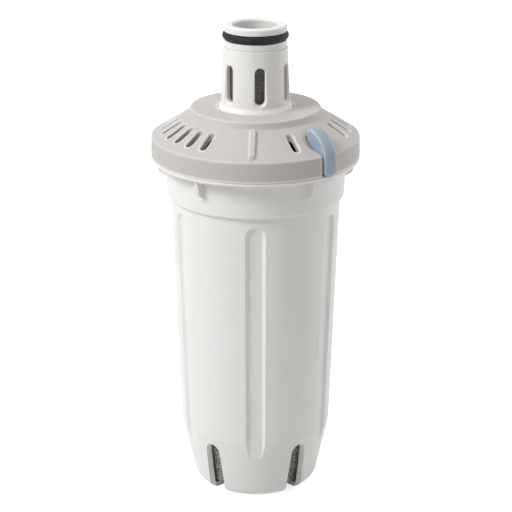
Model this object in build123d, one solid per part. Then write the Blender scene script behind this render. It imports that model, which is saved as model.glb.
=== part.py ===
"""A water pitcher filter cartridge, in millimetres, standing on its base with +Z up.

The front of the cartridge faces -Y. Azimuths are in degrees from the front, positive
towards +X. A feature that repeats is drawn on the +X side and turned to its azimuth.
"""

import math
import os

from build123d import *

# Housing shell
base_radius = 18.1
base_round = 3.6
break_radius = 22.25
break_height = 19.2
body_top_radius = 24.6
shell_height = 101.2
band_height = 11.4
band_lower_radius = 25.7
band_upper_radius = 26.15
band_round = 0.9
flange_inset = 0.6
shell_flange = 0.8
wall = 1.4

# Shell floor
floor_thickness = 1.4
floor_recess = 0.3
recess_radius = 10.6
seat_height = 0.5
seat_inner_radius = 12.2
seat_outer_radius = 14.4

# Flutes down the shell
flute_count = 6
flute_depth = 0.9
flute_floor_width = 3.75
flute_bevel_angle = 54.0
flute_top_gap = 3.6
flute_low_height = 8.0

# Outlet notches in the foot of the shell
notch_azimuth = 36.5
notch_width = 4.6
notch_break_gap = 2.0
notch_inner_radius = 11.2
notch_flare = 2.5
notch_flare_start = 14.0

# Gussets under the flange
gusset_azimuths = (-35.0, 35.0, -90.0, 90.0, -145.0, 145.0)
gusset_thickness = 1.3
gusset_top_share = 0.88
gusset_low_share = 0.57
gusset_height = 5.25
gusset_slope = 32.0

# Cap
cap_radius = 30.0
cap_rim_height = 5.7
cap_rim_wall = 1.8
cap_rim_draft = 0.1
cap_rim_round = 0.5
cap_cone_rise = 6.5
cap_cone_wall = 1.9
turret_radius = 18.5
turret_foot = 0.85
turret_rise = 1.9
turret_round = 0.6
turret_foot_round = 1.0
platform_wall = 1.8
collar_wall = 1.5
collar_depth = 3.4

# Water slots through the cap's cone
cap_slot_pitch = 11.2
cap_slot_width = 1.9
cap_slot_inner_gap = 1.95
cap_slot_outer_gap = 2.9
cap_slot_bevel = 0.28
left_slot_start = -33.0
left_slot_count = 11
right_slot_start = 24.9
right_slot_steps = (0, 4.15, 5.15, 6.15, 7.15, 8.15, 9.15, 10.15, 11.15)

# Pointer rib on the cap's cone
rib_azimuth = -2.3
rib_width = 1.9
rib_height = 0.9
rib_end_run = 1.4
rib_round = 0.55

# Inner lid and neck
lid_flange = 0.6
lid_plate = 1.2
lid_spigot_wall = 1.5
lid_window_count = 8
lid_window_inner_radius = 13.4
lid_window_outer_gap = 6.8
lid_window_spoke = 2.4
neck_foot_radius = 10.7
neck_foot_rise = 1.1
neck_low_radius = 9.85
neck_high_radius = 9.15
neck_lip_radius = 8.84
neck_bore_radius = 6.46
neck_chamber_radius = 8.0
neck_rise = 23.6
neck_step_drop = 6.4
neck_step_groove = 0.2
neck_lip_length = 7.3
lip_round = 0.6

# Slots round the neck
neck_slot_count = 6
neck_slot_azimuth = 7.9
neck_slot_width = 2.9
neck_slot_rise = 2.3
neck_slot_length = 10.5
neck_slot_bevel = 0.45

# O-ring
oring_section = 2.3
oring_drop = 3.1
oring_groove_radius = 7.1
oring_groove_play = 0.1

# Latch lever
lever_azimuth = 43.0
lever_width = 4.3
lever_proud = 0.5
lever_reach = 7.65
lever_arc = 8.4
lever_arc_drop = 1.5
lever_head_round = 1.4
lever_head_depth = 6.25
lever_leg = 2.05
lever_tip_drop = 0.6
lever_edge_round = 0.6
lever_gap = 0.4
pivot_inset = 3.0
pivot_rise = 4.8
pivot_boss = 1.9
pin_radius = 0.9
pocket_wall = 1.3
pocket_floor = 1.0
pocket_clearance = 0.4
pocket_end_gap = 0.75
pocket_corner = 1.4
dish_radius = 6.2
dish_depth = 1.5
dish_inset = 4.4
trough_wall = 1.2

# Latch spring
spring_wire = 0.35
spring_radius = 1.0
spring_turns = 4.5
spring_peg_radius = 0.6
spring_peg_height = 1.1

# Strainer under the cap
strainer_wall = 0.9
strainer_clearance = 1.2
strainer_inset = 5.0
strainer_window_count = 20
strainer_spoke = 1.0
strainer_ring = 1.3
mesh_thickness = 0.35

# Filter media, from the base up
cup_gap = 0.8
cup_wall = 2.4
cup_notch_cover = 0.4
seal_height = 3.4
grid_thickness = 1.6
grid_felt_thickness = 1.2
resin_depth = 29.2
separator_thickness = 1.6
top_felt_thickness = 1.8
spreader_thickness = 1.6
spreader_hole_radius = 1.2
neck_felt_wall = 1.0
retainer_height = 1.8

# Clearances
running_clearance = 0.05
press_clearance = 0.01
slip_clearance = 0.15
media_clearance = 0.1
cap_clearance = 0.25

# Heights and radii that follow
flange_radius = cap_radius - flange_inset
flange_low = shell_height - shell_flange
flange_overhang = flange_radius - band_upper_radius
body_top_height = shell_height - band_height
taper = (body_top_radius - break_radius) / (body_top_height - break_height)
taper_angle = math.degrees(math.atan(taper))
flute_top_height = body_top_height - flute_top_gap
notch_top_height = break_height - notch_break_gap
gusset_top_radius = band_upper_radius + gusset_top_share * flange_overhang
gusset_low_radius = band_upper_radius + gusset_low_share * flange_overhang
gusset_low_height = flange_low - gusset_height
cap_base = shell_height + lid_flange
lid_plate_top = cap_base + lid_plate
rim_top = cap_base + cap_rim_height
cone_outer_radius = cap_radius - cap_rim_draft
cone_inner_radius = turret_radius + turret_foot
cone_top = rim_top + cap_cone_rise
cone_slope = cap_cone_rise / (cone_outer_radius - cone_inner_radius)
cone_drop = cap_cone_wall * math.hypot(1.0, cone_slope)
platform_top = cone_top + turret_rise
cap_hole_radius = neck_foot_radius + cap_clearance
rim_inner_radius = cap_radius - cap_rim_wall
cap_slot_inner_radius = cone_inner_radius + cap_slot_inner_gap
cap_slot_outer_radius = cone_outer_radius - cap_slot_outer_gap
lid_window_outer_radius = rim_inner_radius - lid_window_outer_gap
neck_height = platform_top + neck_rise
neck_step_height = neck_height - neck_step_drop
neck_chamber_top = neck_height - neck_lip_length
neck_slot_low = platform_top + neck_slot_rise
neck_slot_high = neck_slot_low + neck_slot_length
oring_height = neck_height - oring_drop
band_bore_radius = band_lower_radius - wall + 0.3
ledge_height = body_top_height + 0.1
floor_top = floor_thickness + seat_height
lever_half = lever_width / 2
slot_half = lever_half + lever_gap
lever_outer_radius = cap_radius + lever_proud
lever_head_radius = lever_outer_radius - lever_reach
lever_seat_height = rim_top - lever_arc_drop + lever_arc - lever_head_depth
lever_tip_low = cap_base - lever_tip_drop
lever_tip_centre = lever_tip_low + lever_half
pivot_radius = cap_radius - pivot_inset
pivot_height = cap_base + pivot_rise
pocket_inner_radius = lever_head_radius - pocket_end_gap
pocket_shelf_radius = pivot_radius - pivot_boss
shelf_low = lid_plate_top + pocket_clearance
shelf_top = shelf_low + pocket_floor
trough_inner_radius = lever_outer_radius - lever_leg - lever_gap
spring_place = (pocket_inner_radius + pocket_shelf_radius) / 2
strainer_outer_radius = cap_radius - strainer_inset
strainer_inner_radius = cap_hole_radius + collar_wall + 3 * cap_clearance
strainer_top = platform_top - platform_wall - strainer_clearance
strainer_rise = strainer_top + strainer_clearance + cone_drop - rim_top
strainer_top_radius = cone_outer_radius - strainer_rise / cone_slope
cup_top = notch_top_height + cup_notch_cover
grid_height = cup_top + seal_height
grid_felt_low = grid_height + grid_thickness
resin_low = grid_felt_low + grid_felt_thickness
resin_top = resin_low + resin_depth
separator_top = resin_top + separator_thickness
top_felt_low = ledge_height - top_felt_thickness
UP = (Align.CENTER, Align.CENTER, Align.MIN)


def body_radius(height):
    """Outer radius of the fluted body at a height, carried on below the break."""
    return break_radius + (height - break_height) * taper


def foot_radius(height):
    """Outer radius of the foot cone at a height."""
    return base_radius + (break_radius - base_radius) * height / break_height


def bore_radius(height):
    """Inner radius of the shell at a height."""
    return min(body_radius(height), foot_radius(height)) - wall


def cone_height(radius):
    """Height of the cap's cone over a radius."""
    return rim_top + (cone_outer_radius - radius) * cone_slope


def turned(points):
    """Solid of revolution about Z from (radius, height, round) corners."""
    face = make_face(Polyline(*[(r, z) for r, z, _ in points], close=True))
    for r, z, rounding in points:
        if rounding:
            corner = face.vertices().sort_by_distance((r, z, 0))[0]
            face = fillet(corner, radius=rounding)
    return revolve(Plane.XZ * face, Axis.Z)


def disc(radius, low, high):
    """Upright cylinder on the axis between two heights."""
    return Pos(0, 0, low) * Cylinder(radius, high - low, align=UP)


def ring(inner, outer, low, high):
    """Upright tube on the axis between two heights."""
    return disc(outer, low, high) - disc(inner, low - 1, high + 1)


def block(x0, x1, y0, y1, z0, z1):
    """Box between corner coordinates."""
    centre = Pos((x0 + x1) / 2, (y0 + y1) / 2, (z0 + z1) / 2)
    return centre * Box(x1 - x0, y1 - y0, z1 - z0)


def turn_to(azimuth, shape):
    """Turn a shape drawn on the +X side to an azimuth from the front."""
    return Rot(0, 0, azimuth - 90) * shape


def spread(shape, azimuths):
    """Copies of a shape drawn on the +X side, one at each azimuth."""
    return [turn_to(azimuth, shape) for azimuth in azimuths]


def even_azimuths(count, start=0.0):
    """Azimuths of an even pattern all the way round."""
    return [start + 360.0 * i / count for i in range(count)]


def upright_slot(width, low, high, start, end):
    """Round-ended upright slot cutter, drawn along +X between two radii."""
    outline = Pos(0, (low + high) / 2) * SlotOverall(high - low, width, rotation=90)
    return extrude(Plane.YZ.offset(start) * outline, amount=end - start)


def notch_form():
    """Outlet notch cutter, drawn on the +X side, with its +Y wall flared towards the foot."""
    low = -notch_width
    half = notch_width / 2
    high = notch_top_height - half
    slot = upright_slot(notch_width, low, notch_top_height, notch_inner_radius, cap_radius)
    inner = make_face(Polyline((0, low), (half, low), (half, high), (0, high), close=True))
    mouth = make_face(
        Polyline((0, low), (half + notch_flare, low), (half, high), (0, high), close=True)
    )
    start = Plane.YZ.offset(notch_flare_start)
    return slot + loft([start * inner, Plane.YZ.offset(break_radius) * mouth])


def flute_form(depth, growth):
    """Bevelled flute below the body's taper line, drawn on the +X side."""
    middle = (flute_top_height + flute_low_height) / 2
    lean = math.radians(taper_angle)
    outward = (math.cos(lean), 0, -math.sin(lean))
    length = flute_top_height - flute_low_height + 2 * growth
    width = flute_floor_width + 2 * growth
    rise = depth + 1.2
    spread_out = 2 * rise * math.tan(math.radians(flute_bevel_angle))
    plane = Plane(origin=(body_radius(middle) - depth, 0, middle), x_dir=(0, 1, 0), z_dir=outward)
    floor = plane * SlotOverall(length, width, rotation=90)
    mouth = plane.offset(rise) * SlotOverall(length + spread_out, width + spread_out, rotation=90)
    return loft([floor, mouth])


def ridges(clearance):
    """Inner ridges that carry the wall round each flute."""
    form = flute_form(flute_depth + wall + clearance, 0.6 * wall + clearance)
    return spread(form, even_azimuths(flute_count))


def bore_fill(low, high, clearance, extra=0.0):
    """Solid that fills the shell's bore between two heights, ridges left free."""
    gap = clearance + extra
    corners = [(0, low, 0), (bore_radius(low) - gap, low, 0)]
    if low < break_height < high:
        corners.append((bore_radius(break_height) - gap, break_height, 0))
    corners += [(bore_radius(high) - gap, high, 0), (0, high, 0)]
    return turned(corners) - ridges(clearance)


def lever_trough(radius, start, end):
    """Round trough under the lever's tip, drawn along +X between two radii."""
    round_part = Plane.YZ.offset(start) * (Pos(0, lever_tip_centre) * Circle(radius))
    upper = block(start, end, -radius, radius, lever_tip_centre, cap_base + 2 * radius)
    return extrude(round_part, amount=end - start) + upper


def make_body_shell():
    """White housing: tapered body, band, flange, floor, flutes, gussets and notches."""
    outer = turned(
        [
            (0, 0, 0),
            (base_radius, 0, base_round),
            (break_radius, break_height, 0),
            (body_top_radius, body_top_height, 0),
            (band_lower_radius, body_top_height + 0.05, band_round),
            (band_upper_radius, flange_low, 0),
            (flange_radius, flange_low, 0),
            (flange_radius, shell_height, 0),
            (0, shell_height, 0),
        ]
    )
    low = gusset_low_height
    rise = (gusset_low_radius - band_upper_radius) * math.tan(math.radians(gusset_slope))
    gusset_outline = Polyline(
        (band_bore_radius, low),
        (band_upper_radius, low),
        (gusset_low_radius, low + rise),
        (gusset_top_radius, flange_low),
        (band_bore_radius, flange_low),
        close=True,
    )
    gusset = extrude(Plane.XZ * make_face(gusset_outline), gusset_thickness / 2, both=True)
    trough_radius = slot_half + trough_wall
    boss = turn_to(lever_azimuth, lever_trough(trough_radius, band_bore_radius, cap_radius))
    boss = boss & ring(band_bore_radius, flange_radius, low, shell_height)
    shell = outer + spread(gusset, gusset_azimuths) + boss
    shell -= spread(flute_form(flute_depth, 0), even_azimuths(flute_count))
    bore = turned(
        [
            (0, floor_thickness, 0),
            (seat_inner_radius, floor_thickness, 0),
            (seat_inner_radius, floor_top, 0),
            (seat_outer_radius, floor_top, 0),
            (seat_outer_radius, floor_thickness, 0),
            (bore_radius(floor_thickness), floor_thickness, 1.5),
            (bore_radius(break_height), break_height, 0),
            (bore_radius(ledge_height), ledge_height, 0),
            (band_bore_radius, ledge_height, 0),
            (band_bore_radius, shell_height + 1, 0),
            (0, shell_height + 1, 0),
        ]
    )
    shell -= bore - [ridge & disc(band_bore_radius, 0, ledge_height) for ridge in ridges(0)]
    shell -= disc(recess_radius, -1, floor_recess)
    shell += ring(0.01, recess_radius + wall, floor_recess, floor_recess + floor_thickness)
    notch = notch_form()
    shell -= spread(notch, (notch_azimuth, notch_azimuth - 180))
    shell -= spread(mirror(notch, Plane.XZ), (-notch_azimuth, 180 - notch_azimuth))
    shell -= turn_to(lever_azimuth, lever_trough(slot_half, trough_inner_radius, cap_radius + 1))
    return shell


def make_inner_lid():
    """White lid welded into the shell, with the slotted neck moulded on it."""
    spigot_radius = band_bore_radius - slip_clearance
    register_radius = rim_inner_radius - cap_clearance
    spreader_top = ledge_height + spreader_thickness
    foot_top = platform_top + neck_foot_rise
    groove = oring_section / 2 + oring_groove_play
    lid = turned(
        [
            (neck_chamber_radius, shell_height, 0),
            (spigot_radius - lid_spigot_wall, shell_height, 0),
            (spigot_radius - lid_spigot_wall, spreader_top, 0),
            (spigot_radius, spreader_top, 0),
            (spigot_radius, shell_height, 0),
            (flange_radius, shell_height, 0),
            (flange_radius, cap_base, 0),
            (register_radius, cap_base, 0),
            (register_radius, lid_plate_top, 0),
            (neck_foot_radius, lid_plate_top, 1.0),
            (neck_foot_radius, platform_top, 0.5),
            (neck_low_radius, foot_top, 1.2),
            (neck_high_radius, neck_step_height, 0),
            (neck_lip_radius - neck_step_groove, neck_step_height + 0.1, 0),
            (neck_lip_radius - neck_step_groove, neck_step_height + 0.3, 0),
            (neck_lip_radius, neck_step_height + 0.4, 0),
            (neck_lip_radius, oring_height - groove, 0),
            (oring_groove_radius, oring_height - groove, 0),
            (oring_groove_radius, oring_height + groove, 0),
            (neck_lip_radius, oring_height + groove, 0),
            (neck_lip_radius, neck_height, lip_round),
            (neck_bore_radius, neck_height, lip_round),
            (neck_bore_radius, neck_chamber_top, 0),
            (neck_chamber_radius, neck_chamber_top, 0),
        ]
    )
    azimuths = even_azimuths(neck_slot_count, neck_slot_azimuth)
    inside = neck_bore_radius - 1
    slot = upright_slot(neck_slot_width, neck_slot_low, neck_slot_high, inside, cap_radius)
    middle = (neck_slot_low + neck_slot_high) / 2
    drop = (middle - foot_top) * (neck_low_radius - neck_high_radius) / (neck_step_height - foot_top)
    outline = SlotOverall(neck_slot_high - neck_slot_low, neck_slot_width, rotation=90)
    bevel_start = neck_low_radius - drop - neck_slot_bevel - 0.1
    bevel_plane = Plane.YZ.offset(bevel_start) * Pos(0, middle)
    bevel = extrude(bevel_plane * outline, amount=2.0, taper=-42)
    lid -= spread(slot, azimuths) + spread(bevel, azimuths)
    window = ring(lid_window_inner_radius, lid_window_outer_radius, 0, neck_height)
    spokes = [
        turn_to(a, block(0, cap_radius, -lid_window_spoke / 2, lid_window_spoke / 2, 0, neck_height))
        for a in even_azimuths(lid_window_count, lever_azimuth)
    ]
    lid -= (window & disc(cap_radius, shell_height - 1, lid_plate_top + 1)) - spokes
    lid -= turn_to(lever_azimuth, lever_trough(slot_half, trough_inner_radius, cap_radius + 1))
    return lid


def make_cap():
    """Grey cap: rim, slotted cone, turret and the sprung latch's pocket."""
    outline = [
        (cap_hole_radius, platform_top, 0),
        (turret_radius, platform_top, turret_round),
        (cone_inner_radius, cone_top, turret_foot_round),
        (cone_outer_radius, rim_top, cap_rim_round),
        (cap_radius, cap_base, 0),
    ]
    under_radius = turret_radius - cap_rim_wall
    underside = [
        (rim_inner_radius, cap_base, 0),
        (rim_inner_radius, cone_height(rim_inner_radius) - cone_drop, 0),
        (under_radius, cone_height(under_radius) - cone_drop, 0),
        (under_radius, platform_top - platform_wall, 0),
        (cap_hole_radius + collar_wall, platform_top - platform_wall, 0),
        (cap_hole_radius + collar_wall, platform_top - collar_depth, 0),
        (cap_hole_radius, platform_top - collar_depth, 0),
    ]
    cap = turned(outline + underside)
    cover = turned([(0, platform_top, 0)] + outline + [(0, cap_base, 0)])
    half = slot_half + pocket_wall
    pocket_start = pocket_inner_radius - pocket_wall
    pocket = block(pocket_start, rim_inner_radius + 0.3, -half, half, shelf_low, cone_top)
    cap += turn_to(lever_azimuth, pocket) & cover
    reach = cap_radius + 2
    mouth = Rectangle(reach - pocket_inner_radius, 2 * slot_half, align=(Align.MIN, Align.CENTER))
    mouth = fillet(mouth.vertices().group_by(Axis.X)[0], radius=pocket_corner)
    well = extrude(Pos(pocket_inner_radius, 0, shelf_top) * mouth, amount=platform_top - shelf_top)
    front = block(pocket_shelf_radius, reach, -slot_half, slot_half, cap_base - 1, shelf_top + 1)
    pin_circle = Pos(pivot_radius, pivot_height) * Circle(pin_radius + press_clearance)
    pin_hole = extrude(Plane.XZ.offset(-half - 1) * pin_circle, amount=2 * half + 2)
    cap -= [turn_to(lever_azimuth, part) for part in (well, front, pin_hole)]
    cap -= turn_to(lever_azimuth, finger_dish())
    peg = Pos(spring_place, 0, shelf_top) * Cylinder(spring_peg_radius, spring_peg_height, align=UP)
    cap += turn_to(lever_azimuth, peg)
    slot_length = cap_slot_outer_radius - cap_slot_inner_radius
    slot_outline = Pos((cap_slot_outer_radius + cap_slot_inner_radius) / 2, 0, cap_base) * SlotOverall(
        slot_length, cap_slot_width
    )
    slot = extrude(slot_outline, amount=platform_top)
    azimuths = [left_slot_start - cap_slot_pitch * i for i in range(left_slot_count)]
    azimuths += [right_slot_start + cap_slot_pitch * i for i in right_slot_steps]
    cap -= spread(slot, azimuths)
    cap = chamfer([edge for edge in cap.edges() if on_slot_rim(edge)], cap_slot_bevel)
    return cap + turn_to(rib_azimuth, pointer_rib())


def on_slot_rim(edge):
    """Whether an edge bounds a water slot's mouth on the cap's cone."""
    middle = edge @ 0.5
    radius = math.hypot(middle.X, middle.Y)
    on_cone = abs(middle.Z - cone_height(radius)) < 0.02
    return on_cone and edge.length < cap_slot_outer_radius - cap_slot_inner_radius + 0.5


def finger_dish():
    """Shallow dish with a soft rim in the cone round the latch's head, drawn on the +X side."""
    half = dish_radius / 2
    radius = half**2 / dish_depth + dish_depth / 4
    turn = math.degrees(math.asin(half / radius))
    bowl = (0, radius - dish_depth)
    brim = (dish_radius, -radius)
    top = 2 * dish_depth
    section = make_face(
        [
            ThreePointArc(
                on_circle(bowl, radius, -90),
                on_circle(bowl, radius, turn / 2 - 90),
                on_circle(bowl, radius, turn - 90),
            ),
            ThreePointArc(
                on_circle(bowl, radius, turn - 90),
                on_circle(brim, radius, 90 + turn / 2),
                on_circle(brim, radius, 90),
            ),
            Polyline((dish_radius, 0), (dish_radius, top), (0, top), (0, -dish_depth)),
        ]
    )
    middle = cap_radius - dish_inset
    place = Pos(middle, 0, cone_height(middle)) * Rot(0, math.degrees(math.atan(cone_slope)), 0)
    return place * revolve(Plane.XZ * section, Axis.Z)


def pointer_rib():
    """Round-ended rib that lies down the cap's cone, drawn on the +X side."""
    start, end = cone_inner_radius - 0.3, cone_outer_radius - 0.9
    slope = math.atan(cone_slope)
    length = (end - start) / math.cos(slope)
    blank = block(0, length, -rib_width / 2, rib_width / 2, -cap_cone_wall / 2, rib_height)
    side = Polyline(
        (0, -cap_cone_wall / 2),
        (0, 0),
        (rib_end_run, rib_height),
        (length - rib_end_run, rib_height),
        (length, 0),
        (length, -cap_cone_wall / 2),
        close=True,
    )
    rib = blank & extrude(Plane.XZ * make_face(side), rib_width, both=True)
    rib = fillet(rib.edges().filter_by(Axis.Z), 0.45 * rib_width)
    rib = fillet([edge for edge in rib.edges() if (edge @ 0.5).Z > 0.01], rib_round)
    return Pos(start, 0, cone_height(start)) * Rot(0, math.degrees(slope), 0) * rib


def on_circle(centre, radius, angle):
    """Point on a circle at an angle in degrees from the first axis."""
    turn = math.radians(angle)
    return centre[0] + radius * math.cos(turn), centre[1] + radius * math.sin(turn)


def on_lever_rim(middle):
    """Whether an edge's middle lies on the lever's outer outline, drawn on the +X side."""
    side = abs(middle.Y) > lever_half - 0.01
    head = side and middle.Z > lever_seat_height + 0.01
    leg = middle.X > lever_outer_radius - 0.01 and (side or middle.Z < lever_tip_centre)
    return head or leg


def make_latch_lever():
    """Blue-grey rocker that keys the cap: rounded head, leg and pivot boss."""
    arc_low = rim_top - lever_arc_drop
    arc_centre = (lever_outer_radius - lever_arc, arc_low)
    reach = lever_arc - lever_head_round
    corner_radius = lever_head_radius + lever_head_round
    lean = math.degrees(math.asin((corner_radius - arc_centre[0]) / reach))
    corner_centre = (corner_radius, arc_low + reach * math.cos(math.radians(lean)))
    crest = 90 - lean
    touch = on_circle(arc_centre, lever_arc, crest)
    leg_inner = lever_outer_radius - lever_leg
    below = lever_tip_low - lever_half
    head = (lever_head_radius, lever_seat_height)
    seat_end = pocket_shelf_radius + 0.3
    outline = make_face(
        [
            Line(head, on_circle(corner_centre, lever_head_round, 180)),
            ThreePointArc(
                on_circle(corner_centre, lever_head_round, 180),
                on_circle(corner_centre, lever_head_round, (180 + crest) / 2),
                touch,
            ),
            ThreePointArc(
                touch,
                on_circle(arc_centre, lever_arc, crest / 2),
                on_circle(arc_centre, lever_arc, 0),
            ),
            Line(on_circle(arc_centre, lever_arc, 0), (lever_outer_radius, below)),
            Line((lever_outer_radius, below), (leg_inner, below)),
            Line((leg_inner, below), (leg_inner, pivot_height)),
            Line((leg_inner, pivot_height), (seat_end, pivot_height)),
            Line((seat_end, pivot_height), (seat_end, lever_seat_height)),
            Line((seat_end, lever_seat_height), head),
        ]
    )
    boss = Pos(pivot_radius, pivot_height) * Circle(pivot_boss)
    lever = extrude(Plane.XZ * (outline + boss), lever_width, both=True)
    front = Pos(0, lever_tip_centre) * Circle(lever_half)
    front += Pos(0, lever_tip_centre) * Rectangle(
        lever_width, 4 * lever_arc, align=(Align.CENTER, Align.MIN)
    )
    lever = lever & extrude(Plane.YZ * front, amount=cap_radius + 2)
    lever = fillet([edge for edge in lever.edges() if on_lever_rim(edge @ 0.5)], lever_edge_round)
    bore = Plane.XZ.offset(-lever_width) * (
        Pos(pivot_radius, pivot_height) * Circle(pin_radius + running_clearance)
    )
    lever -= extrude(bore, amount=2 * lever_width)
    return turn_to(lever_azimuth, lever)


def make_latch_pin():
    """Steel pivot pin across the pocket's cheeks."""
    half = slot_half + pocket_wall - 0.1
    pin = Plane.XZ.offset(-half) * (Pos(pivot_radius, pivot_height) * Circle(pin_radius))
    return turn_to(lever_azimuth, extrude(pin, amount=2 * half))


def make_latch_spring():
    """Small coil spring between the pocket's shelf and the lever's head."""
    length = lever_seat_height - shelf_top - spring_wire - 2 * running_clearance
    path = Helix(pitch=length / spring_turns, height=length, radius=spring_radius)
    section = Plane(origin=path @ 0, z_dir=path % 0) * RegularPolygon(spring_wire / 2, 8)
    coil = sweep(section, path=path, is_frenet=True)
    start = shelf_top + spring_wire / 2 + running_clearance
    return turn_to(lever_azimuth, Pos(spring_place, 0, start) * coil)


def make_o_ring():
    """Black seal in the groove under the neck's lip."""
    major = oring_groove_radius + oring_section / 2 + press_clearance
    return Pos(0, 0, oring_height) * Torus(major, oring_section / 2)


def strainer_height(radius):
    """Height of the strainer's upper face over a radius."""
    return cone_height(radius) - cone_drop - strainer_clearance


def strainer_blank(drop, thickness):
    """Conical hat that follows the cap's underside, a drop below the strainer's face."""
    outer = strainer_outer_radius
    low = strainer_height(outer) - drop
    high = strainer_top - drop
    return turned(
        [
            (outer, low, 0),
            (strainer_top_radius, high, 0),
            (strainer_inner_radius, high, 0),
            (strainer_inner_radius, high - thickness, 0),
            (strainer_top_radius, high - thickness, 0),
            (outer, low - thickness, 0),
        ]
    )


def latch_clearance():
    """Space that the strainer leaves free for the latch's pocket."""
    half = slot_half + pocket_wall + pocket_clearance
    start = pocket_inner_radius - pocket_wall - pocket_clearance
    return turn_to(lever_azimuth, block(start, cap_radius, -half, half, shell_height, platform_top))


def make_strainer_frame():
    """Black frame that stands on the lid and holds the strainer's mesh."""
    outer = strainer_outer_radius
    inner = strainer_inner_radius
    frame = strainer_blank(0, strainer_wall)
    foot_top = strainer_height(outer) - strainer_wall / 2
    frame += ring(outer - strainer_ring, outer, lid_plate_top, foot_top)
    frame += ring(inner, inner + strainer_ring, lid_plate_top, strainer_top - strainer_wall / 2)
    window = ring(strainer_top_radius + 1, outer - 1.5 * strainer_ring, 0, neck_height)
    half = strainer_spoke / 2
    spokes = [
        turn_to(a, block(0, cap_radius, -half, half, 0, neck_height))
        for a in even_azimuths(strainer_window_count)
    ]
    frame -= window - spokes
    return frame - latch_clearance()


def make_strainer_mesh():
    """Fine black mesh on the underside of the strainer's frame."""
    sheet = strainer_blank(strainer_wall, mesh_thickness)
    sheet -= ring(strainer_outer_radius - strainer_ring - media_clearance, cap_radius, 0, neck_height)
    foot = strainer_inner_radius + strainer_ring + media_clearance
    sheet -= disc(max(strainer_top_radius - strainer_wall, foot), 0, neck_height)
    return sheet - latch_clearance()


def make_neck_felt():
    """Dark felt sleeve behind the neck's slots."""
    outer = neck_chamber_radius - media_clearance
    low = platform_top + retainer_height
    return ring(outer - neck_felt_wall, outer, low, neck_chamber_top - press_clearance)


def make_felt_retainer():
    """White ring pressed into the neck to hold the felt sleeve up."""
    outer = neck_chamber_radius - press_clearance
    return ring(outer - neck_felt_wall, outer, platform_top, platform_top + retainer_height)


def make_spreader_plate():
    """White plate on the shell's ledge that spreads the water over the bed."""
    plate = disc(band_bore_radius - slip_clearance, ledge_height, ledge_height + spreader_thickness)
    hole = disc(spreader_hole_radius, ledge_height - 1, ledge_height + spreader_thickness + 1)
    holes = [hole]
    for count, radius in ((6, 7.0), (12, 13.5), (18, 19.5)):
        holes += spread(Pos(radius, 0, 0) * hole, even_azimuths(count))
    return plate - holes


def make_support_grid():
    """White grid that carries the media over the outlet cup."""
    grid = bore_fill(grid_height, grid_felt_low, slip_clearance)
    slot = block(5.0, 17.5, -0.6, 0.6, grid_height - 1, grid_felt_low + 1)
    return grid - spread(slot, even_azimuths(20, 9.0))


def make_outlet_cup():
    """Dark carbon felt cup that shows through the notches."""
    low, high = floor_top, cup_top
    outer_low = bore_radius(low) - cup_gap
    outer_high = bore_radius(high) - cup_gap
    return turned(
        [
            (0, low, 0),
            (outer_low, low, 0.5),
            (outer_high, high, 0),
            (outer_high - cup_wall, high, 0),
            (outer_low - cup_wall, low + cup_wall, 0),
            (0, low + cup_wall, 0),
        ]
    )


def make_outlet_ring():
    """White tapered ring that seals the cup's top to the shell."""
    inner = bore_radius(cup_top) - cup_gap - cup_wall
    solid = bore_fill(cup_top, grid_height, press_clearance)
    return solid - disc(inner, 0, neck_height)


def make_nodes():
    """Every piece of the cartridge under its node name."""
    return {
        "body_shell": make_body_shell(),
        "inner_lid": make_inner_lid(),
        "cap": make_cap(),
        "latch_lever": make_latch_lever(),
        "latch_pin": make_latch_pin(),
        "latch_spring": make_latch_spring(),
        "o_ring": make_o_ring(),
        "neck_felt": make_neck_felt(),
        "felt_retainer": make_felt_retainer(),
        "strainer_frame": make_strainer_frame(),
        "strainer_mesh": make_strainer_mesh(),
        "spreader_plate": make_spreader_plate(),
        "top_felt": bore_fill(top_felt_low, ledge_height, media_clearance),
        "carbon_bed": bore_fill(separator_top, top_felt_low, media_clearance),
        "separator_felt": bore_fill(resin_top, separator_top, media_clearance),
        "resin_bed": bore_fill(resin_low, resin_top, media_clearance),
        "grid_felt": bore_fill(grid_felt_low, resin_low, media_clearance),
        "support_grid": make_support_grid(),
        "outlet_cup": make_outlet_cup(),
        "outlet_ring": make_outlet_ring(),
    }


os.makedirs("parts", exist_ok=True)
for name, shape in make_nodes().items():
    export_step(shape, f"parts/{name}.step")
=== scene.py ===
"""Looks of a water pitcher filter cartridge: finishes, felts, strainer cloth, light and camera.

Everything is in metres in the part's own frame: +Z is up, the base stands at Z = 0 and the
front faces -Y. Sizes that belong to the real object are written in millimetres times MM.
"""

import sys

import logging
import math
from dataclasses import dataclass
from enum import Enum

import bmesh
import bpy
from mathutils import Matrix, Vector


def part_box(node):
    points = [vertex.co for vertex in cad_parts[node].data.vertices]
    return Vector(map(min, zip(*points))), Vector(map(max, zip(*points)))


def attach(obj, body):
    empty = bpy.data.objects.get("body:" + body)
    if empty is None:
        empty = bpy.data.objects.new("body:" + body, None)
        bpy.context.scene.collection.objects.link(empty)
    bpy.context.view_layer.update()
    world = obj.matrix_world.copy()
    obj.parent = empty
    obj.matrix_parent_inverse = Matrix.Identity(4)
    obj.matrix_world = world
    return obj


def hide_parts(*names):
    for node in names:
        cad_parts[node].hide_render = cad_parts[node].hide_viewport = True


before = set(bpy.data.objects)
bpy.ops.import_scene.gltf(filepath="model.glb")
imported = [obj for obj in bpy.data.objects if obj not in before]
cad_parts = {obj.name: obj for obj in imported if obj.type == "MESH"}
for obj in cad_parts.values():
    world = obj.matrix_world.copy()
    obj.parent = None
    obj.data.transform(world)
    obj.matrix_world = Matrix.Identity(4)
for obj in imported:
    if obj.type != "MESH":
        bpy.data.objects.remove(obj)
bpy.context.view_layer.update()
MM = 0.001
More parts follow.
